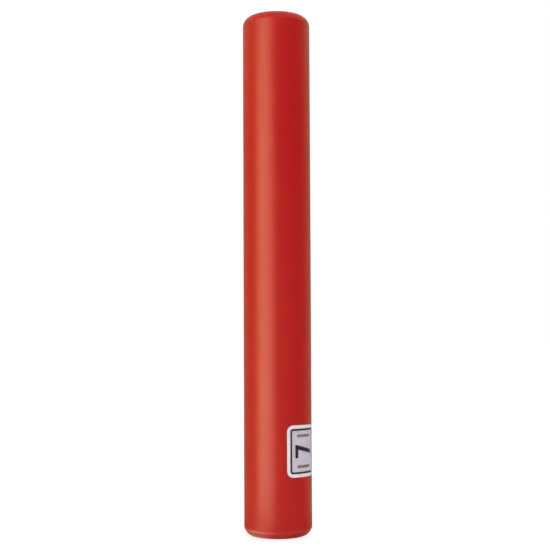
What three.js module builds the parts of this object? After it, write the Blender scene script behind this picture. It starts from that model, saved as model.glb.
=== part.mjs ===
// Relay baton: a smooth hollow tube with turned-in ends, standing upright, and one label on its side.
// Millimetres, +Z up. The origin is the middle of the end that it stands on, and the photographed
// side faces -Y.

import * as THREE from "three";
import { mergeVertices } from "three/addons/utils/BufferGeometryUtils.js";

// Tube
const TUBE_LENGTH = 300;
const TUBE_DIAMETER = 38.9;
const TUBE_WALL = 1;

// Turned-in ends: the outside corner's radius, and the flat ring that the tube stands on
const END_ROUNDING = 6;
const END_RING_WIDTH = 1.2;

// Label, a printed film stuck on the outside near the lower end
const LABEL_WIDTH = 23; // measured round the tube
const LABEL_HEIGHT = 29;
const LABEL_CORNER_RADIUS = 3.6;
const LABEL_THICKNESS = 0.15;
const LABEL_ADHESIVE = 0.05; // layer of glue between the tube and the film
const LABEL_CENTRE_HEIGHT = 49;
const LABEL_TURN_DEGREES = 48.8; // from -Y towards +X

// Fineness of the curved surfaces
const TUBE_SIDES = 72;
const ROUNDING_STEPS = 6;
const LABEL_CORNER_STEPS = 4;
const LABEL_MIDDLE_STEPS = 20;
const COLUMN_CORNERS = 4; // inner and outer corner at the foot and at the head of a label column

const TUBE_RADIUS = TUBE_DIAMETER / 2;
const QUARTER_TURN = Math.PI / 2;

const coating = new THREE.MeshStandardMaterial({
  color: 0xc01c1a,
  roughness: 0.38,
  metalness: 0,
});
const labelFilm = new THREE.MeshStandardMaterial({
  color: 0xe9e4e6,
  roughness: 0.45,
  metalness: 0,
});

// Points of a quarter circle, from one angle to the next, as radius and height on the tube's profile.
function quarterArc(centreRadius, centreHeight, radius, startAngle, turn) {
  const points = [];
  for (let i = 0; i <= ROUNDING_STEPS; i++) {
    const angle = startAngle + (turn * i) / ROUNDING_STEPS;
    const x = centreRadius + radius * Math.cos(angle);
    const y = centreHeight + radius * Math.sin(angle);
    points.push(new THREE.Vector2(x, y));
  }
  return points;
}

// The tube's wall as one closed outline: up the outside, over the top lip, down the inside and back
// over the bottom lip. Each end's wall is bent in by a quarter turn about one centre, so it keeps
// its thickness, and it ends in a flat ring.
function tubeOutline() {
  const bendRadius = TUBE_RADIUS - END_ROUNDING;
  const insideRounding = END_ROUNDING - TUBE_WALL;
  const mouthRadius = bendRadius - END_RING_WIDTH;
  const topBend = TUBE_LENGTH - END_ROUNDING;
  const outline = [
    ...quarterArc(bendRadius, END_ROUNDING, END_ROUNDING, -QUARTER_TURN, QUARTER_TURN),
    ...quarterArc(bendRadius, topBend, END_ROUNDING, 0, QUARTER_TURN),
    new THREE.Vector2(mouthRadius, TUBE_LENGTH),
    new THREE.Vector2(mouthRadius, TUBE_LENGTH - TUBE_WALL),
    ...quarterArc(bendRadius, topBend, insideRounding, QUARTER_TURN, -QUARTER_TURN),
    ...quarterArc(bendRadius, END_ROUNDING, insideRounding, 0, -QUARTER_TURN),
    new THREE.Vector2(mouthRadius, TUBE_WALL),
    new THREE.Vector2(mouthRadius, 0),
  ];
  outline.push(outline[0].clone());
  return outline;
}

function makeTube() {
  const geometry = new THREE.LatheGeometry(tubeOutline(), TUBE_SIDES);
  const tube = new THREE.Mesh(geometry, coating);
  tube.name = "baton_tube";
  tube.rotation.x = QUARTER_TURN;
  return tube;
}

// Where the label's columns stand, measured round the tube from its middle: close together in the
// rounded corners and evenly spread between them.
function labelColumns() {
  const straightHalf = LABEL_WIDTH / 2 - LABEL_CORNER_RADIUS;
  const right = [];
  for (let i = 1; i <= LABEL_CORNER_STEPS; i++) {
    const angle = (QUARTER_TURN * i) / LABEL_CORNER_STEPS;
    right.push(straightHalf + LABEL_CORNER_RADIUS * Math.sin(angle));
  }
  const left = right.map((along) => -along).reverse();
  const middle = [];
  for (let i = 0; i <= LABEL_MIDDLE_STEPS; i++) {
    middle.push(straightHalf * ((2 * i) / LABEL_MIDDLE_STEPS - 1));
  }
  return [...left, ...middle, ...right];
}

// Half the label's height at one column: full between the corners, less inside them by the circle.
function labelHalfHeight(along) {
  const straightHalf = LABEL_WIDTH / 2 - LABEL_CORNER_RADIUS;
  const intoCorner = Math.min(Math.max(Math.abs(along) - straightHalf, 0), LABEL_CORNER_RADIUS);
  const rise = Math.sqrt(LABEL_CORNER_RADIUS ** 2 - intoCorner ** 2);
  return LABEL_HEIGHT / 2 - LABEL_CORNER_RADIUS + rise;
}

// The film is bent round the tube: every column is a small upright rectangle of four corners, and
// its neighbours are joined to it by four flat strips. The two outermost columns are closed.
function labelGeometry() {
  const insideRadius = TUBE_RADIUS + LABEL_ADHESIVE;
  const outsideRadius = insideRadius + LABEL_THICKNESS;
  const columns = labelColumns();
  const positions = [];
  for (const along of columns) {
    const angle = along / outsideRadius;
    const halfHeight = labelHalfHeight(along);
    const corners = [
      [insideRadius, -halfHeight],
      [outsideRadius, -halfHeight],
      [outsideRadius, halfHeight],
      [insideRadius, halfHeight],
    ];
    for (const [radius, height] of corners) {
      positions.push(radius * Math.sin(angle), -radius * Math.cos(angle), height);
    }
  }
  const corner = (column, index) => column * COLUMN_CORNERS + (index % COLUMN_CORNERS);
  const triangles = [];
  for (let column = 0; column + 1 < columns.length; column++) {
    for (let side = 0; side < COLUMN_CORNERS; side++) {
      const a = corner(column, side);
      const b = corner(column + 1, side);
      const c = corner(column + 1, side + 1);
      const d = corner(column, side + 1);
      triangles.push(a, b, c, a, c, d);
    }
  }
  const last = columns.length - 1;
  triangles.push(corner(0, 0), corner(0, 1), corner(0, 2));
  triangles.push(corner(0, 0), corner(0, 2), corner(0, 3));
  triangles.push(corner(last, 0), corner(last, 2), corner(last, 1));
  triangles.push(corner(last, 0), corner(last, 3), corner(last, 2));
  const geometry = new THREE.BufferGeometry();
  geometry.setAttribute("position", new THREE.Float32BufferAttribute(positions, 3));
  geometry.setIndex(triangles);
  const closed = mergeVertices(geometry);
  closed.computeVertexNormals();
  return closed;
}

function makeLabel() {
  const label = new THREE.Mesh(labelGeometry(), labelFilm);
  label.name = "label";
  label.position.z = LABEL_CENTRE_HEIGHT;
  label.rotation.z = THREE.MathUtils.degToRad(LABEL_TURN_DEGREES);
  return label;
}

const baton = new THREE.Group();
baton.name = "relay_baton";
baton.add(makeTube(), makeLabel());

export default baton;
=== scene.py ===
# %% [markdown]
# # A relay baton
#
# A relay baton is a smooth, hollow tube of thin aluminium, 30 cm long, with both ends turned in so
# that nothing sharp meets the hand. This one has a satin red powder coat outside, bare metal inside
# and one printed label near its lower end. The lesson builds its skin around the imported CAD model.

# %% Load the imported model
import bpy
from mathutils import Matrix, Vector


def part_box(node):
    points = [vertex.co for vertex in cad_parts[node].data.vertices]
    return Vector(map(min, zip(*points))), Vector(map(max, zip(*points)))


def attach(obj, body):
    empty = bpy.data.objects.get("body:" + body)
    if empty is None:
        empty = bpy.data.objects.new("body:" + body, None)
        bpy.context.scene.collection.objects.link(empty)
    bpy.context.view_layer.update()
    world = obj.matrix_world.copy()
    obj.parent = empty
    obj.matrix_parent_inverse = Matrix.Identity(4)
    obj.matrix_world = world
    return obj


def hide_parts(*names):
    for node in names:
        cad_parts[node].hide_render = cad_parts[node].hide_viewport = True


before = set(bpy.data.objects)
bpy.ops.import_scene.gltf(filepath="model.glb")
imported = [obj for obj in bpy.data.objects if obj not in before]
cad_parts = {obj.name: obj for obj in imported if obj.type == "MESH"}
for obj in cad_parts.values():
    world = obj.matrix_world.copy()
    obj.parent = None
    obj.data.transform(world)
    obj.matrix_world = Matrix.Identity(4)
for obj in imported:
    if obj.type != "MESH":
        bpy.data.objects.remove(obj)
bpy.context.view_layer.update()        # the imported CAD nodes

# %% Import the other modules
import math

import bpy
import numpy as np
from mathutils import Matrix

# %% [markdown]
# ## Sizes come from the frame
#
# The CAD model already says how long and how thick the tube is, and where the label sits. Reading
# those values from it, and not typing them again, keeps the skin and the solid in step.

# %% Measure the tube and the label
def node_points(name):
    """Every vertex of a CAD node, as rows of x, y and z in metres."""
    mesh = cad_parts[name].data
    points = np.empty(len(mesh.vertices) * 3, np.float32)
    mesh.vertices.foreach_get("co", points)
    return points.reshape(-1, 3).astype(float)


tube_low, tube_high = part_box("baton_tube")
tube_radius = (tube_high.y - tube_low.y) / 2
tube_length = tube_high.z - tube_low.z

label_points = node_points("label")
label_angles = np.arctan2(label_points[:, 0], -label_points[:, 1])
label_outside = np.hypot(label_points[:, 0], label_points[:, 1]).max()
label_turn = (label_angles.min() + label_angles.max()) / 2
label_width = (label_angles.max() - label_angles.min()) * label_outside
label_height = np.ptp(label_points[:, 2])
label_centre = (label_points[:, 2].min() + label_points[:, 2].max()) / 2
print(f"Tube {tube_length:.4f} m long, radius {tube_radius:.5f} m")
print(f"Label {label_width:.4f} m by {label_height:.4f} m")

# %% [markdown]
# ## The camera
#
# The baton was photographed from about 0.66 m away and a little below the level of its middle, so
# its lower end looks 3% wider, and it leans a quarter of a degree. Its outline in the picture gives
# all of this. Turning the camera a little off the middle puts the baton on its own pixel, so the
# lens needs no shift.

# %% Place the camera
photo_pixels = 550
tube_middle_pixel = (277.15, 273.2)
focal_pixels = 1144.4
camera_distance = 0.663
camera_rise = math.radians(3.25)
camera_roll = math.radians(-0.24)


def add_camera():
    """A camera in front, on -Y, that looks up at the tube's middle by its rise. Its yaw and pitch
    add the angles whose tangents are the tube's offset from the picture's middle over the focal
    length, both in pixels."""
    data = bpy.data.cameras.new("camera")
    data.sensor_width = 36
    data.lens = data.sensor_width * focal_pixels / photo_pixels
    camera = bpy.data.objects.new("camera", data)
    bpy.context.scene.collection.objects.link(camera)
    yaw = math.atan((tube_middle_pixel[0] - photo_pixels / 2) / focal_pixels)
    pitch = math.atan((tube_middle_pixel[1] - photo_pixels / 2) / focal_pixels)
    back = camera_distance * math.cos(camera_rise)
    below = camera_distance * math.sin(camera_rise)
    place = Matrix.Translation((0, -back, tube_length / 2 - below))
    upright = Matrix.Rotation(math.pi / 2 + camera_rise + pitch, 4, "X")
    turn = Matrix.Rotation(yaw, 4, "Z") @ upright
    camera.matrix_world = place @ turn @ Matrix.Rotation(camera_roll, 4, "Z")
    bpy.context.scene.camera = camera
    return camera


camera = add_camera()
print(f"Camera lens {camera.data.lens:.1f} mm at {camera_distance} m")

# %% [markdown]
# ## Surfaces from arrays
#
# Each piece here is a grid of points that one formula gives, so a mesh needs only two arrays: the
# points, and the four corners of each face. NumPy works out both without a loop, and `foreach_set`
# hands them to Blender in one go.

# %% Turn a grid of points into a mesh
sharp_edge = math.radians(40)


def grid_faces(rows, columns, close_rows=False, close_columns=False):
    """Corner numbers of a grid's faces. Point (row, column) has the number row times columns plus
    column, and a closed direction joins its last line to its first."""
    row, column = np.meshgrid(
        np.arange(rows if close_rows else rows - 1),
        np.arange(columns if close_columns else columns - 1),
        indexing="ij",
    )
    next_row = (row + 1) % rows
    next_column = (column + 1) % columns
    corners = [(row, column), (row, next_column), (next_row, next_column), (next_row, column)]
    return np.stack([r * columns + c for r, c in corners], axis=-1).reshape(-1, 4)


def add_piece(name, points, faces, node, slot, materials):
    """An object at the origin whose mesh holds these points and four-cornered faces, shaded smooth
    but for edges sharper than 40 degrees. It rides on the baton's one body, stands for a CAD node
    if one is named, and takes the materials given. The slot is not used."""
    mesh = bpy.data.meshes.new(name)
    mesh.vertices.add(len(points))
    mesh.vertices.foreach_set("co", points.astype(np.float32).ravel())
    mesh.loops.add(faces.size)
    mesh.loops.foreach_set("vertex_index", faces.astype(np.int32).ravel())
    mesh.polygons.add(len(faces))
    mesh.polygons.foreach_set("loop_start", np.arange(0, faces.size, 4, dtype=np.int32))
    mesh.polygons.foreach_set("use_smooth", np.ones(len(faces), bool))
    mesh.update(calc_edges=True)
    mesh.validate()
    mesh.set_sharp_from_angle(angle=sharp_edge)
    for material in materials:
        mesh.materials.append(material)
    piece = bpy.data.objects.new(name, mesh)
    bpy.context.scene.collection.objects.link(piece)
    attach(piece, "root")
    if node:
        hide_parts(node)
    print(f"{name}: {2 * len(faces)} triangles")
    return piece


# %% [markdown]
# ## Nodes in few words
#
# A procedural material is a small graph. Two helpers keep the graphs short enough to read: one adds
# a node with its inputs already set or linked, and one does a step of arithmetic.

# %% Helpers for shader graphs
def add_node(tree, kind, inputs=None, **settings):
    """A new node with these settings. Each input is a value, or the output of another node."""
    node = tree.nodes.new(kind)
    for name, value in settings.items():
        setattr(node, name, value)
    for name, value in (inputs or {}).items():
        if isinstance(value, bpy.types.NodeSocket):
            tree.links.new(value, node.inputs[name])
        else:
            node.inputs[name].default_value = value
    return node


def calculate(tree, operation, *values, clamp=False):
    """The result of one step of arithmetic on one, two or three values."""
    inputs = dict(enumerate(values))
    return add_node(tree, "ShaderNodeMath", inputs, operation=operation, use_clamp=clamp).outputs[0]


def spread(tree, value, low, high, new_low=0.0, new_high=1.0):
    """A value that goes from low to high, carried over to the range from new_low to new_high."""
    inputs = {"Value": value, 1: low, 2: high, 3: new_low, 4: new_high}
    return add_node(tree, "ShaderNodeMapRange", inputs, interpolation_type="SMOOTHSTEP").outputs[0]


def noise(tree, place, size, detail=2.0, roughness=0.5):
    """Cloudy noise whose blotches are about this many metres across. It seldom leaves the range
    from 0.3 to 0.7, so what follows it spreads about that much."""
    inputs = {"Vector": place, "Scale": 1 / size, "Detail": detail, "Roughness": roughness}
    return add_node(tree, "ShaderNodeTexNoise", inputs).outputs[0]


def bump(tree, height, depth):
    """Normals of a surface that a height from 0 to 1 raises by up to this many metres."""
    inputs = {"Height": height, "Strength": 1.0, "Distance": depth}
    return add_node(tree, "ShaderNodeBump", inputs).outputs[0]


def mix_colour(tree, share, first, second):
    """The first colour at a share of 0 and the second at a share of 1."""
    inputs = {0: share, 6: first, 7: second}
    return add_node(tree, "ShaderNodeMix", inputs, data_type="RGBA").outputs[2]


def new_material(name):
    """An empty node material. Returns it with its graph and its Principled shader."""
    material = bpy.data.materials.new(name)
    material.use_nodes = True
    tree = material.node_tree
    return material, tree, tree.nodes["Principled BSDF"]


def linear(red, green, blue):
    """A colour as a picture file writes it, from 0 to 255, turned into Blender's linear light:
    the share plus 0.055, over 1.055, to the power of 2.4."""
    shares = (np.array([red, green, blue]) / 255 + 0.055) / 1.055
    return (*(shares**2.4), 1.0)


# %% [markdown]
# ## The red coating
#
# Powder paint melts into a film about 0.08 mm thick. It is smooth to the hand but never a mirror:
# the film keeps faint ripples a millimetre or two wide, called orange peel, and its gloss wanders a
# little along the tube where hands have polished it. Each of these is a noise of its own size. The
# film's gleam is a little warm where it is looked at squarely, which the specular tint does, and
# white where it is seen at a slant. A thin darker line round the label is painted shade, where the
# film's edge would shade the coat, and its place is worked out like the label's.

# %% Distance from the label's edge
label_corner_radius = 0.0036


def distance_to_label(tree, place):
    """How far a point of the tube lies outside the label's edge, in metres, negative inside. The
    tube is unrolled first: the turn from the label's middle times the radius is the way along."""
    parts = add_node(tree, "ShaderNodeSeparateXYZ", {0: place}).outputs
    towards_camera = calculate(tree, "MULTIPLY", parts[1], -1.0)
    turn = calculate(tree, "ARCTAN2", parts[0], towards_camera)
    turned = calculate(tree, "SUBTRACT", turn, label_turn)
    along = calculate(tree, "ABSOLUTE", calculate(tree, "MULTIPLY", turned, label_outside))
    up = calculate(tree, "ABSOLUTE", calculate(tree, "SUBTRACT", parts[2], label_centre))
    past_side = calculate(tree, "SUBTRACT", along, label_width / 2 - label_corner_radius)
    past_top = calculate(tree, "SUBTRACT", up, label_height / 2 - label_corner_radius)
    side = calculate(tree, "MAXIMUM", past_side, 0.0)
    top = calculate(tree, "MAXIMUM", past_top, 0.0)
    squares = calculate(tree, "MULTIPLY_ADD", side, side, calculate(tree, "MULTIPLY", top, top))
    corner = calculate(tree, "SQRT", squares)
    inside = calculate(tree, "MINIMUM", calculate(tree, "MAXIMUM", past_side, past_top), 0.0)
    return calculate(tree, "SUBTRACT", calculate(tree, "ADD", corner, inside), label_corner_radius)


# %% Satin red powder coat
coat_red = linear(184, 21, 29)
coat_deep_red = linear(170, 17, 25)
coat_edge_shade = linear(92, 16, 18)
coat_gleam = (1.0, 1.0, 0.6, 1.0)
coat_ior = 1.65
coat_glossiest = 0.29
coat_dullest = 0.34
orange_peel_size = 0.0018
orange_peel_depth = 0.000008
gloss_blotch_size = 0.03
pigment_blotch_size = 0.012
deep_red_share = 0.35
draw_line_size = 0.0007
draw_line_stretch = (1, 1, 0.02)
draw_line_gloss = 0.01
draw_line_height = 0.05
# Colour, width and strength of the painted shade line round the label's edge.
edge_shade_width = 0.0006
edge_shade_share = 0.55


def satin_red_coating():
    """Red over a faint deeper red, with wandering gloss, orange peel and fine draw lines, and a thin
    line of painted shade round the label.
    """
    material, tree, shader = new_material("satin_red_coating")
    place = add_node(tree, "ShaderNodeTexCoord").outputs["Object"]
    along = {"Vector": place, "Scale": draw_line_stretch}
    drawn = add_node(tree, "ShaderNodeMapping", along).outputs[0]
    draw_lines = noise(tree, drawn, draw_line_size, detail=3)
    blotches = noise(tree, place, gloss_blotch_size, detail=4)
    pigment = noise(tree, place, pigment_blotch_size, detail=5, roughness=0.6)
    peel = noise(tree, place, orange_peel_size, detail=1)

    deep = spread(tree, pigment, 0.35, 0.75, 0.0, deep_red_share)
    red = mix_colour(tree, deep, coat_red, coat_deep_red)
    # Painted shade: the coat darkens towards the label's edge, as if the film's edge shaded it.
    distance = calculate(tree, "ABSOLUTE", distance_to_label(tree, place))
    near = spread(tree, distance, 0.0, edge_shade_width, edge_shade_share, 0.0)
    red = mix_colour(tree, near, red, coat_edge_shade)
    tree.links.new(red, shader.inputs["Base Color"])

    gloss = spread(tree, blotches, 0.3, 0.7, coat_glossiest, coat_dullest)
    lines = spread(tree, draw_lines, 0.35, 0.65, -draw_line_gloss, draw_line_gloss)
    tree.links.new(calculate(tree, "ADD", gloss, lines), shader.inputs["Roughness"])

    height = calculate(tree, "MULTIPLY_ADD", draw_lines, draw_line_height, peel)
    tree.links.new(bump(tree, height, orange_peel_depth), shader.inputs["Normal"])
    shader.inputs["IOR"].default_value = coat_ior
    shader.inputs["Specular Tint"].default_value = coat_gleam
    return material


coating = satin_red_coating()
print("Coating made with", len(coating.node_tree.nodes), "nodes")

# %% [markdown]
# ## The bare inside
#
# The powder gun reaches only a finger's width into the mouths, so the inside fades from red mist to
# drawn aluminium with long die lines. Metalness follows the same fade, because a metal's colour
# tints its reflections and paint's doesn't. The wall was never polished and its skin of oxide is
# dull, so it is only a little over half metal, and the rest scatters light like grey paint.

# %% Drawn aluminium with red mist at the mouths
metal_grey = linear(228, 229, 231)
metal_dull = linear(196, 198, 202)
metal_share = 0.55
metal_glossiest = 0.32
metal_dullest = 0.5
die_line_size = 0.0005
die_line_stretch = (1, 1, 0.012)
die_line_depth = 0.00001
mist_grain_size = 0.0009
mist_raggedness = 0.014
mist_full = 0.0098
mist_gone = 0.028


def drawn_aluminium():
    """Bare metal with die lines, which red mist covers near both mouths and thins out inwards. The
    distance from the nearer end, plus a ragged amount from the grains, is set against where the
    mist is full and where it is gone."""
    material, tree, shader = new_material("drawn_aluminium")
    place = add_node(tree, "ShaderNodeTexCoord").outputs["Object"]
    along = {"Vector": place, "Scale": die_line_stretch}
    drawn = add_node(tree, "ShaderNodeMapping", along).outputs[0]
    die_lines = noise(tree, drawn, die_line_size, detail=4, roughness=0.65)
    grains = noise(tree, place, mist_grain_size, detail=3, roughness=0.7)
    height = add_node(tree, "ShaderNodeSeparateXYZ", {0: place}).outputs[2]
    from_middle = calculate(tree, "ABSOLUTE", calculate(tree, "SUBTRACT", height, tube_length / 2))
    from_end = calculate(tree, "SUBTRACT", tube_length / 2, from_middle)
    ragged = calculate(tree, "MULTIPLY_ADD", grains, mist_raggedness, from_end)
    mist = spread(tree, ragged, mist_full, mist_gone, 1.0, 0.0)
    grey = mix_colour(tree, spread(tree, die_lines, 0.35, 0.65), metal_grey, metal_dull)
    tree.links.new(mix_colour(tree, mist, grey, coat_red), shader.inputs["Base Color"])
    tree.links.new(spread(tree, mist, 0.0, 1.0, metal_share, 0.0), shader.inputs["Metallic"])
    gloss = spread(tree, die_lines, 0.3, 0.7, metal_glossiest, metal_dullest)
    tree.links.new(gloss, shader.inputs["Roughness"])
    tree.links.new(bump(tree, die_lines, die_line_depth), shader.inputs["Normal"])
    return material


bare_metal = drawn_aluminium()
print("Inside made with", len(bare_metal.node_tree.nodes), "nodes")

# %% [markdown]
# ## The tube
#
# A tube with turned-in ends is one outline that goes round an axis. The outline here is a closed
# loop through the wall: up the outside, round the 6 mm corner, over the flat ring, across the cut
# edge, and back inside. Blender's Screw modifier could turn it too. An array keeps every point
# known, so the faces that are coated and those that stay bare can be told apart by their number.

# %% Outline of the wall
wall = 0.001
end_rounding = 0.006
end_ring_width = 0.0012
cut_edge_rounding = 0.0002
arc_steps = 20
edge_steps = 4
straight_steps = 12


def arc(centre, radius, start, end, steps):
    """Points of an arc: the centre, plus the radius times the cosine and the sine of an angle that
    runs evenly from start to end, in quarter turns."""
    angles = np.linspace(start, end, steps + 1) * math.pi / 2
    return np.array(centre) + radius * np.stack([np.cos(angles), np.sin(angles)], axis=1)


def upper_half_outline():
    """Radius and height from the middle of the outside wall, over the top lip, to the middle of
    the inside wall, and the number of points before the middle of the cut edge."""
    bend = (tube_radius - end_rounding, tube_length - end_rounding)
    mouth = bend[0] - end_ring_width + cut_edge_rounding
    outer_edge = (mouth, tube_length - cut_edge_rounding)
    inner_edge = (mouth, tube_length - wall + cut_edge_rounding)
    rise = np.linspace(tube_length / 2, bend[1], straight_steps)[:-1, None]
    outside = np.hstack([np.full_like(rise, tube_radius), rise])
    inside = np.hstack([np.full_like(rise, tube_radius - wall), rise])[::-1]
    over = [
        outside,
        arc(bend, end_rounding, 0, 1, arc_steps),
        arc(outer_edge, cut_edge_rounding, 1, 2, edge_steps),
    ]
    back = [
        arc(inner_edge, cut_edge_rounding, 2, 3, edge_steps),
        arc(bend, end_rounding - wall, 1, 0, arc_steps),
        inside,
    ]
    return np.vstack(over + back), len(np.vstack(over))


def wall_outline():
    """The whole loop: the upper half, then its mirror image below, walked the other way. The two
    halves share their end points, which are left out of the second. It also says which points
    are coated."""
    upper, coated_points = upper_half_outline()
    lower = (upper * (1, -1) + (0, tube_length))[-2:0:-1]
    coated_upper = np.arange(len(upper)) < coated_points
    return np.vstack([upper, lower]), np.concatenate([coated_upper, coated_upper[-2:0:-1]])


# %% Turn the outline round the axis
tube_sides = 288


def revolve(outline, sides):
    """A grid of points: x is the radius times the sine of the turn, y is minus the radius times its
    cosine, and z is the height. Rows follow the turn, and columns follow the outline."""
    turn = np.linspace(0, 2 * math.pi, sides, endpoint=False)[:, None]
    radius, height = outline.T
    flat = np.stack([radius * np.sin(turn), -radius * np.cos(turn), height + 0 * turn], axis=-1)
    return flat.reshape(-1, 3)


def add_tube():
    """The tube's skin, with the coating on the outside and the lips and bare metal inside."""
    outline, coated = wall_outline()
    faces = grid_faces(tube_sides, len(outline), close_rows=True, close_columns=True)[:, ::-1]
    points = revolve(outline, tube_sides)
    finishes = [coating, bare_metal]
    tube = add_piece("baton_tube_skin", points, faces, "baton_tube", "red_coating", finishes)
    bare = ~(coated & np.roll(coated, -1))
    tube.data.polygons.foreach_set("material_index", np.tile(bare, tube_sides).astype(np.int32))


add_tube()

# %% [markdown]
# ## The label
#
# The label is a printed plastic film, thin enough to follow the tube. It is planned flat, as a
# printer would, with one axis along the film and one up it, and then bent: the way along becomes an
# angle round the tube. A rounded rectangle is a stack of columns whose height drops in a quarter
# circle near each side. The film, the ground and the bars are all made by the same few functions.

# %% Plan a rounded rectangle and bend it
sheet_columns = 48
sheet_rows = 24


def rounded_half_height(along, half_width, half_height, corner):
    """Half the height of a rounded rectangle at a place along it: full in the middle, and within a
    corner's reach of the side it drops by the corner less the circle's own height there."""
    into_corner = np.clip(np.abs(along) - (half_width - corner), 0, corner)
    return half_height - corner + np.sqrt(corner**2 - into_corner**2)


def rounded_sheet(half_width, half_height, corner, middle=0.0):
    """A flat grid over a rounded rectangle, its middle so far up the label. Columns stand closer
    together at the sides, by the sine of an even angle, and each is filled evenly upwards."""
    along = half_width * np.sin(np.linspace(-math.pi / 2, math.pi / 2, sheet_columns))[:, None]
    share = np.linspace(-1, 1, sheet_rows)
    up = middle + share * rounded_half_height(along, half_width, half_height, corner)
    return along + 0 * up, up


def bend_round_tube(along, up, radius):
    """Places on the flat label as points in space: the way along over the label's own radius is
    the angle from the label's middle, turned to where the label sits on the tube."""
    angle = label_turn + along / label_outside
    return np.stack([radius * np.sin(angle), -radius * np.cos(angle), label_centre + up], axis=-1)


def bent_plate(along, up, inner, outer):
    """A closed plate between two radii over a flat grid of places. The grid is bent once at each
    radius, and the way round its rim joins the two sheets with a narrow side."""
    top = bend_round_tube(along, up, outer).reshape(-1, 3)
    under = bend_round_tube(along, up, inner).reshape(-1, 3)
    sheet = grid_faces(*along.shape)[:, ::-1]
    numbers = np.arange(len(top)).reshape(along.shape)
    rim = np.concatenate([numbers[:-1, 0], numbers[-1, :-1], numbers[:0:-1, -1], numbers[0, :0:-1]])
    following = np.roll(rim, -1)
    side = np.stack([rim, rim + len(top), following + len(top), following], axis=1)
    faces = np.vstack([sheet, sheet[:, ::-1] + len(top), side])
    return np.vstack([top, under]), faces


# %% [markdown]
# ## Film and ink
#
# The film is white vinyl with a soft sheen. Print lies on it as layers of ink a few hundredths of a
# millimetre thick, each a closed plate or ring of its own, so that edges stay sharp from any
# distance. The print is a plain lane number in a ruled frame on a pale ground.

# %% Printed vinyl materials
film_white = linear(233, 224, 227)
film_warm = linear(222, 206, 204)
ground_lilac = linear(203, 196, 208)
ground_faded = linear(192, 183, 196)
ink_navy = linear(36, 16, 38)
navy_thin = linear(52, 34, 54)
ink_taupe = linear(125, 105, 95)
taupe_thin = linear(139, 120, 110)
vinyl_blotch_size = 0.004
vinyl_grain_size = 0.0003
vinyl_grain_depth = 0.000003


def printed_vinyl(name, colour, worn_colour, glossiest, dullest):
    """Vinyl or ink whose colour yellows or thins in small blotches, with a fine leathery grain.
    Its roughness goes from the glossiest to the dullest."""
    material, tree, shader = new_material(name)
    place = add_node(tree, "ShaderNodeTexCoord").outputs["Object"]
    blotches = noise(tree, place, vinyl_blotch_size, detail=4, roughness=0.6)
    grain = noise(tree, place, vinyl_grain_size, detail=2)
    shade = spread(tree, blotches, 0.35, 0.75)
    tree.links.new(mix_colour(tree, shade, colour, worn_colour), shader.inputs["Base Color"])
    gloss = spread(tree, grain, 0.3, 0.7, glossiest, dullest)
    tree.links.new(gloss, shader.inputs["Roughness"])
    tree.links.new(bump(tree, grain, vinyl_grain_depth), shader.inputs["Normal"])
    return material


film = printed_vinyl("white_vinyl_film", film_white, film_warm, 0.38, 0.48)
ground_ink = printed_vinyl("pale_lilac_ink", ground_lilac, ground_faded, 0.4, 0.5)
navy_ink = printed_vinyl("navy_ink", ink_navy, navy_thin, 0.35, 0.45)
taupe_ink = printed_vinyl("taupe_ink", ink_taupe, taupe_thin, 0.38, 0.48)

# %% Film and pale ground
glue_thickness = 0.00005
ink_step = 0.00002
white_margin = 0.0019
rule_width = 0.0011
rule_ink = 1.5 * ink_step
film_outside = label_outside - 2 * ink_step


def add_plate(name, inset, inner, outer, node, material):
    """A plate with the label's outline drawn in by an inset, its corners drawn in with it."""
    corner = max(label_corner_radius - inset, ink_step)
    sheet = rounded_sheet(label_width / 2 - inset, label_height / 2 - inset, corner)
    add_piece(name, *bent_plate(*sheet, inner, outer), node, "label_film", [material])


add_plate("label_film", 0, tube_radius + glue_thickness, film_outside, "label", film)
ground_inset = white_margin + rule_width / 2
ground_outside = film_outside + ink_step
add_plate("label_ground", ground_inset, film_outside, ground_outside, None, ground_ink)

# %% [markdown]
# ## A ruled frame
#
# The frame is a narrow ribbon that follows the label's outline. Its path is a rounded rectangle as
# one closed loop, and its cross-section is a flat box: path and section together are again a grid.

# %% Sweep a flat section along a rounded rectangle
corner_steps = 12
side_steps = 16


def rounded_rectangle(half_width, half_height, corner):
    """A loop of points with the outward direction at each. Every corner is a quarter circle, and
    the points along each side run evenly from one corner's end to the next corner's start."""
    signs = np.array([(1, 1), (-1, 1), (-1, -1), (1, -1)])
    centres = signs * (half_width - corner, half_height - corner)
    turns = (np.arange(4)[:, None] + np.linspace(0, 1, corner_steps + 1)) * math.pi / 2
    outward = np.stack([np.cos(turns), np.sin(turns)], axis=-1)
    arcs = centres[:, None] + corner * outward
    share = np.linspace(0, 1, side_steps + 1)[1:-1, None]
    ends, starts = arcs[:, -1:], np.roll(arcs[:, :1], -1, axis=0)
    sides = ends + share * (starts - ends)
    straight = np.broadcast_to(outward[:, -1:], sides.shape)
    return (
        np.concatenate([arcs, sides], axis=1).reshape(-1, 2),
        np.concatenate([outward, straight], axis=1).reshape(-1, 2),
    )


def bent_frame(inset, width, inner, outer):
    """A closed ring of rectangular section along the label's outline, drawn in by an inset."""
    corner = label_corner_radius - inset
    path, outward = rounded_rectangle(label_width / 2 - inset, label_height / 2 - inset, corner)
    across = np.array([0, 0, -width, -width])
    radius = np.array([inner, outer, outer, inner])
    flat = path[:, None] + outward[:, None] * across[:, None]
    points = bend_round_tube(flat[..., 0], flat[..., 1], radius).reshape(-1, 3)
    return points, grid_faces(len(path), 4, close_rows=True, close_columns=True)[:, ::-1]


ruled_frame = bent_frame(white_margin, rule_width, film_outside, film_outside + rule_ink)
add_piece("label_rule", *ruled_frame, None, "label_film", [navy_ink])

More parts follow.
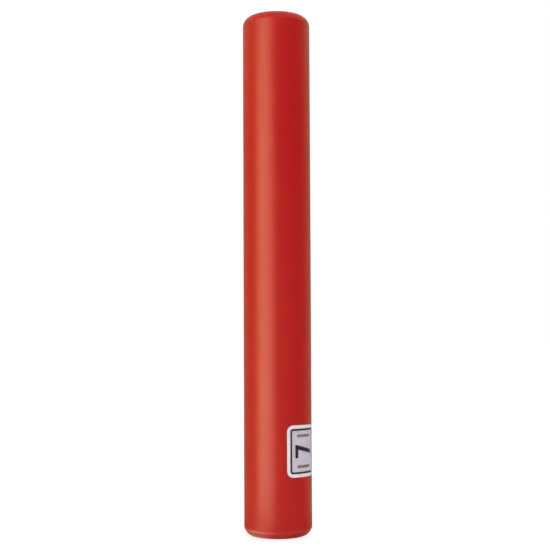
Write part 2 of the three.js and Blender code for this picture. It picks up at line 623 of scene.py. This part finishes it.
# %% [markdown]
# ## The lane number
#
# A bold numeral could come from Blender's text. A seven is simple enough to draw: its stroke has
# an inner and an outer edge, each a line with one corner. Places are filled in evenly between the
# two edges, so the stroke is once more a flat grid, ready for the same bend. The numeral is turned
# a quarter to be read along the baton, from bottom to top. Its width, bar and stem are given as
# shares of its height.

# %% Draw the numeral
number_height = 0.013
width_share = 0.58
bar_share = 0.15
stem_share = 0.18
foot_share = 0.15
stroke_steps = 24
stroke_columns = 7


def walk_along(corners):
    """Places that run evenly along a line with one corner, the same number in either part."""
    share = np.linspace(0, 1, stroke_steps)[:, None]
    first = corners[0] + share * (corners[1] - corners[0])
    second = corners[1] + share[1:] * (corners[2] - corners[1])
    return np.vstack([first, second])


def flat_seven():
    """A grid over the numeral's stroke, one unit high, with rows along it. The stem leans by what
    is left of the width after its foot, and its inner edge keeps level with the outer one."""
    lean = width_share - foot_share - stem_share
    low = 1 - bar_share
    inner = walk_along(np.array([(0, low), (foot_share + lean * low, low), (foot_share, 0)]))
    outer = walk_along(np.array([(0, 1), (width_share, 1), (foot_share + stem_share, 0)]))
    share = np.linspace(0, 1, stroke_columns)[:, None]
    return inner[:, None] + share * (outer - inner)[:, None]


def add_numeral():
    """The stroke turned so that its top points back along the film, and laid on the ground."""
    across, rise = np.moveaxis(flat_seven(), -1, 0)
    along = (0.5 - rise) * number_height
    up = (across - width_share / 2) * number_height
    plate = bent_plate(along, up, ground_outside, ground_outside + ink_step)
    add_piece("label_number", *plate, None, "label_film", [navy_ink])


add_numeral()

# %% [markdown]
# ## Two bars
#
# A short bar of taupe ink above the number and one below it balance the print. Each is the same
# bent plate as the ground, only smaller and moved along the label.

# %% Add the bars
bar_length = 0.0105
bar_width = 0.0016
bar_corner = 0.0003
bar_offset = 0.0086


def add_bar(name, middle):
    """A small plate of taupe ink across the label, laid on the ground."""
    sheet = rounded_sheet(bar_length / 2, bar_width / 2, bar_corner, middle)
    plate = bent_plate(*sheet, ground_outside, ground_outside + ink_step)
    add_piece(name, *plate, None, "label_film", [taupe_ink])


add_bar("label_upper_bar", bar_offset)
add_bar("label_lower_bar", -bar_offset)

# %% [markdown]
# ## Floor and background
#
# The picture's background is plain white. The floor is pale and takes the baton's soft shadow. For
# the camera, and for anything mirrored, part of its brightness is its own, so that it meets the
# white world behind it without a line. From below it is clear, so that the underside can be seen.

# %% Pale floor
floor_size = 8.0
floor_height = -0.0002
shadow_share = 0.4
own_white = 1.26
floor_pale = (0.84, 0.84, 0.84, 1.0)


def seen_directly(tree):
    """1 for rays from the camera, in a mirror image or through glass, and 0 for other light."""
    rays = add_node(tree, "ShaderNodeLightPath").outputs
    direct = calculate(tree, "MAXIMUM", rays["Is Camera Ray"], rays["Is Glossy Ray"])
    return calculate(tree, "MAXIMUM", direct, rays["Is Transmission Ray"])


def pale_floor_material():
    """Pale paint for the light, a share of white of its own for what is seen, and clear behind."""
    material = bpy.data.materials.new("pale_floor")
    material.use_nodes = True
    tree = material.node_tree
    tree.nodes.clear()
    paint = add_node(tree, "ShaderNodeBsdfDiffuse", {"Color": floor_pale}).outputs[0]
    white = add_node(tree, "ShaderNodeEmission", {"Strength": own_white}).outputs[0]
    share = calculate(tree, "MULTIPLY", seen_directly(tree), 1 - shadow_share)
    mixed = add_node(tree, "ShaderNodeMixShader", {0: share, 1: paint, 2: white}).outputs[0]
    behind = add_node(tree, "ShaderNodeNewGeometry").outputs["Backfacing"]
    clear = add_node(tree, "ShaderNodeBsdfTransparent").outputs[0]
    shown = add_node(tree, "ShaderNodeMixShader", {0: behind, 1: mixed, 2: clear}).outputs[0]
    add_node(tree, "ShaderNodeOutputMaterial", {0: shown})
    return material


def add_stage_mesh(name, points, faces, material):
    """A mesh that belongs to the studio and not to the baton."""
    mesh = bpy.data.meshes.new(name)
    mesh.from_pydata(points.tolist(), [], faces.tolist())
    mesh.materials.append(material)
    thing = bpy.data.objects.new(name, mesh)
    bpy.context.scene.collection.objects.link(thing)
    return thing


half_floor = floor_size / 2
floor_corners = np.array([(-1, -1, 0), (1, -1, 0), (1, 1, 0), (-1, 1, 0)]) * half_floor
floor_corners[:, 2] = floor_height
add_stage_mesh("floor", floor_corners, np.array([[0, 1, 2, 3]]), pale_floor_material())
print("Floor is", floor_size, "m across")

# %% [markdown]
# ## Light
#
# A softbox at the front left is the main light. A ring of wide, soft lamps fills the rest, so that
# every side of the baton shows its colour, and a weak one hangs overhead. The ring starts in front
# and goes round by the right. Its strongest lamp is the one behind, because the softbox doesn't
# reach that side. A card at the foot returns light to the lower end, which the baton's own shadow
# would darken. None of them is seen: what the gloss mirrors is left to the tent in the next step.
# The world is only the white behind.

# %% Softbox and fill lamps
key_turn = math.radians(-60)
key_distance = 0.9
key_size = (0.75, 1.5)
key_power = 4.8
key_tint = (1.0, 0.93, 0.82)
fill_levels = (1.27, 1.16, 0.9, 1.4, 0.42, 1.02)
fill_rise = math.radians(20)
fill_angle = math.radians(120)
overhead_level = 0.08
card_size = 0.3
card_power = 0.042
card_height = -0.0001


def set_world():
    """White where it is seen, and no light of its own."""
    world = bpy.data.worlds.new("studio")
    world.use_nodes = True
    tree = world.node_tree
    tree.links.new(seen_directly(tree), tree.nodes["Background"].inputs["Strength"])
    tree.nodes["Background"].inputs["Color"].default_value = (1, 1, 1, 1)
    world.cycles.sampling_method = "NONE"
    bpy.context.scene.world = world


def add_lamp(data, place):
    """A lamp that lights the baton without a mirror image of its own."""
    data.cycles.use_multiple_importance_sampling = False
    lamp = bpy.data.objects.new(data.name, data)
    bpy.context.scene.collection.objects.link(lamp)
    lamp.matrix_world = place
    lamp.visible_camera = False
    lamp.visible_glossy = False


def add_softbox():
    """A tall area lamp that faces the baton's middle from the front left."""
    data = bpy.data.lights.new("key_softbox", "AREA")
    data.shape = "RECTANGLE"
    data.size, data.size_y = key_size
    data.energy = key_power
    data.color = key_tint
    back = Matrix.Translation((0, -key_distance, tube_length / 2))
    turn = Matrix.Rotation(key_turn, 4, "Z")
    add_lamp(data, turn @ back @ Matrix.Rotation(math.pi / 2, 4, "X"))


def add_card():
    """A weak square lamp between the floor and the baton's foot. An area lamp shines along its
    own -Z, so it is turned over to shine up."""
    data = bpy.data.lights.new("foot_card", "AREA")
    data.size = card_size
    data.energy = card_power
    place = Matrix.Translation((0, 0, card_height))
    add_lamp(data, place @ Matrix.Rotation(math.pi, 4, "X"))


def add_fill(name, turn, rise, level):
    """A lamp so far off that its light is even, spread over a wide angle. A sun shines along its
    own -Z, so it is tipped up by its rise from level and then turned round the baton."""
    data = bpy.data.lights.new(name, "SUN")
    data.angle = fill_angle
    data.energy = level
    tip = Matrix.Rotation(math.pi / 2 - rise, 4, "X")
    add_lamp(data, Matrix.Rotation(turn, 4, "Z") @ tip)


set_world()
add_softbox()
for number, level in enumerate(fill_levels):
    add_fill(f"fill_{number}", 2 * math.pi * number / len(fill_levels), fill_rise, level)
add_fill("fill_overhead", 0, math.pi / 2, overhead_level)
add_card()

# %% [markdown]
# ## The tent
#
# A satin tube shows what stands round it: the softbox as a soft streak that is brightest on its
# left, a dim studio in the middle of the right side, and a paler one beyond. All of that is painted
# on the inside of a tent that only mirror images see. How bright each direction is comes from a few
# stations round the tent, joined evenly, and its outline says how that changes with height. The
# first list of stations is for what is level with the baton or far off on the floor, and the second
# for what lies higher or on the floor close by. Round the left and just behind the right the light
# is warmer, so its tint loses blue there. Near the floor it gains some, which keeps the sheen pink
# and not golden from above.

# %% Brightness round the tent
station_degrees = (
    -180, -140, -105, -88, -76, -64, -50, -35, -22, -12, -3, 8, 22, 40, 58, 80, 97, 120, 140, 180
)
level_brightness = (
    0.12, 0.5, 0.3, 0.3, 0.75, 3.0, 4.2, 3.8, 2.75, 1.15, 0.34, 0.18, 0.14, 0.08, 0.01, 0.02,
    0.12, 0.33, 0.52, 0.12
)
slanting_brightness = (
    0.1, 0.48, 0.42, 0.45, 0.75, 2.1, 3.1, 3.1, 2.3, 1.0, 0.34, 0.16, 0.1, 0.06, 0.02, 0.04, 0.2,
    0.45, 0.58, 0.1
)
studio_tint = (0.5, 0.87, 0.45)
softbox_tint = (0.6, 0.75, 0.75)
softbox_peak = 4.2
behind_tint = (0.05, 0.82, 0.6)
behind_degrees = (120, 150)
overhead_tint = (0.7, 0.9, 0.85)
blue_degrees = (-150, -138, -120, -75, -55, -30, 90, 112, 135, 150)
blue_share = (1.0, 0.85, 0.35, 0.65, 1.0, 1.15, 1.0, 0.6, 0.9, 1.0)

# %% Outline of the tent
# Each row: radius, height, share of the slanting stations, how much of the stations, light of its
# own, how much of the tint's blue.
tent_outline = np.array([
    (0.0115, -0.0001, 1, 0.05, 0.00, 1.35),
    (0.0134, -0.0001, 1, 0.05, 0.00, 1.35),
    (0.0138, -0.0001, 1, 0.25, 0.10, 1.35),
    (0.0200, -0.0001, 1, 0.25, 0.10, 1.35),
    (0.0208, -0.0001, 1, 0.90, 0.35, 1.35),
    (0.0260, -0.0001, 1, 0.90, 0.35, 1.35),
    (0.0280, -0.0001, 1, 0.40, 0.00, 1.35),
    (0.0600, -0.0001, 1, 0.40, 0.00, 1.35),
    (0.1100, -0.0001, 1, 0.85, 0.00, 1.20),
    (0.3500, -0.0001, 0, 1.00, 0.00, 1.00),
    (0.5000, -0.0001, 0, 1.00, 0.00, 1.00),
    (0.5000, 0.2800, 0, 1.00, 0.00, 1.00),
    (0.5000, 0.3600, 1, 1.00, 0.00, 1.00),
    (0.5000, 0.4200, 1, 1.00, 0.12, 1.00),
    (0.5000, 0.5600, 1, 1.00, 0.12, 1.00),
    (0.5000, 0.6200, 1, 0.00, 0.60, 1.00),
    (0.5000, 1.0000, 1, 0.00, 0.60, 1.00),
    (0.0010, 1.0000, 1, 0.00, 0.60, 1.00),
])
tent_steps = 180


def tent_colours(turn):
    """Colour of each tent point: the two lists of stations at its turn, mixed by the outline's
    share, times its factor and the tint, plus its own light in the overhead tint. The tint goes
    from the studio's to the softbox's with brightness and to the one behind the baton with the
    turn, and its blue is multiplied by the outline's share and by the turn's."""
    radius, height, slant, factor, own, blue = tent_outline.T
    level = np.interp(np.degrees(turn), station_degrees, level_brightness)[:, None]
    slanting = np.interp(np.degrees(turn), station_degrees, slanting_brightness)[:, None]
    seen = factor * (level + slant * (slanting - level))
    warmth = np.clip(seen / softbox_peak, 0, 1)[..., None]
    behind = np.interp(np.degrees(np.abs(turn)), behind_degrees, (0, 1))[:, None, None]
    tint = np.array(studio_tint) + warmth * (np.array(softbox_tint) - np.array(studio_tint))
    tint = tint + behind * (np.array(behind_tint) - tint)
    tint[..., 2] *= blue * np.interp(np.degrees(turn), blue_degrees, blue_share)[:, None]
    return seen[..., None] * tint + (own * np.ones_like(seen))[..., None] * np.array(overhead_tint)


# %% Put up the tent
def tent_material():
    """Gives off the colour that the mesh's own attribute holds."""
    material = bpy.data.materials.new("studio_tent")
    material.use_nodes = True
    material.cycles.emission_sampling = "NONE"
    tree = material.node_tree
    tree.nodes.clear()
    colour = add_node(tree, "ShaderNodeAttribute", attribute_name="brightness").outputs["Color"]
    glow = add_node(tree, "ShaderNodeEmission", {"Color": colour}).outputs[0]
    add_node(tree, "ShaderNodeOutputMaterial", {0: glow})
    return material


def add_tent():
    """The outline turned round the axis, with a colour at each point, which only mirror images
    show."""
    points = revolve(tent_outline[:, :2], tent_steps)
    faces = grid_faces(tent_steps, len(tent_outline), close_rows=True)
    tent = add_stage_mesh("studio_tent", points, faces, tent_material())
    turn = np.linspace(0, 2 * math.pi, tent_steps, endpoint=False)
    turn = (turn + math.pi) % (2 * math.pi) - math.pi
    colours = tent_colours(turn).reshape(-1, 3)
    values = np.hstack([colours, np.ones((len(colours), 1))]).astype(np.float32)
    attribute = tent.data.attributes.new("brightness", "FLOAT_COLOR", "POINT")
    attribute.data.foreach_set("color", values.ravel())
    tent.visible_camera = False
    tent.visible_diffuse = False
    tent.visible_shadow = False
    tent.visible_transmission = False
    print("Tent of", len(points), "points, at its brightest", round(float(colours.max()), 2))


add_tent()

# %% [markdown]
# ## Finish
#
# The picture is shown without any film curve, so a colour looks as it was written.

# %% View settings
bpy.context.scene.view_settings.view_transform = "Standard"
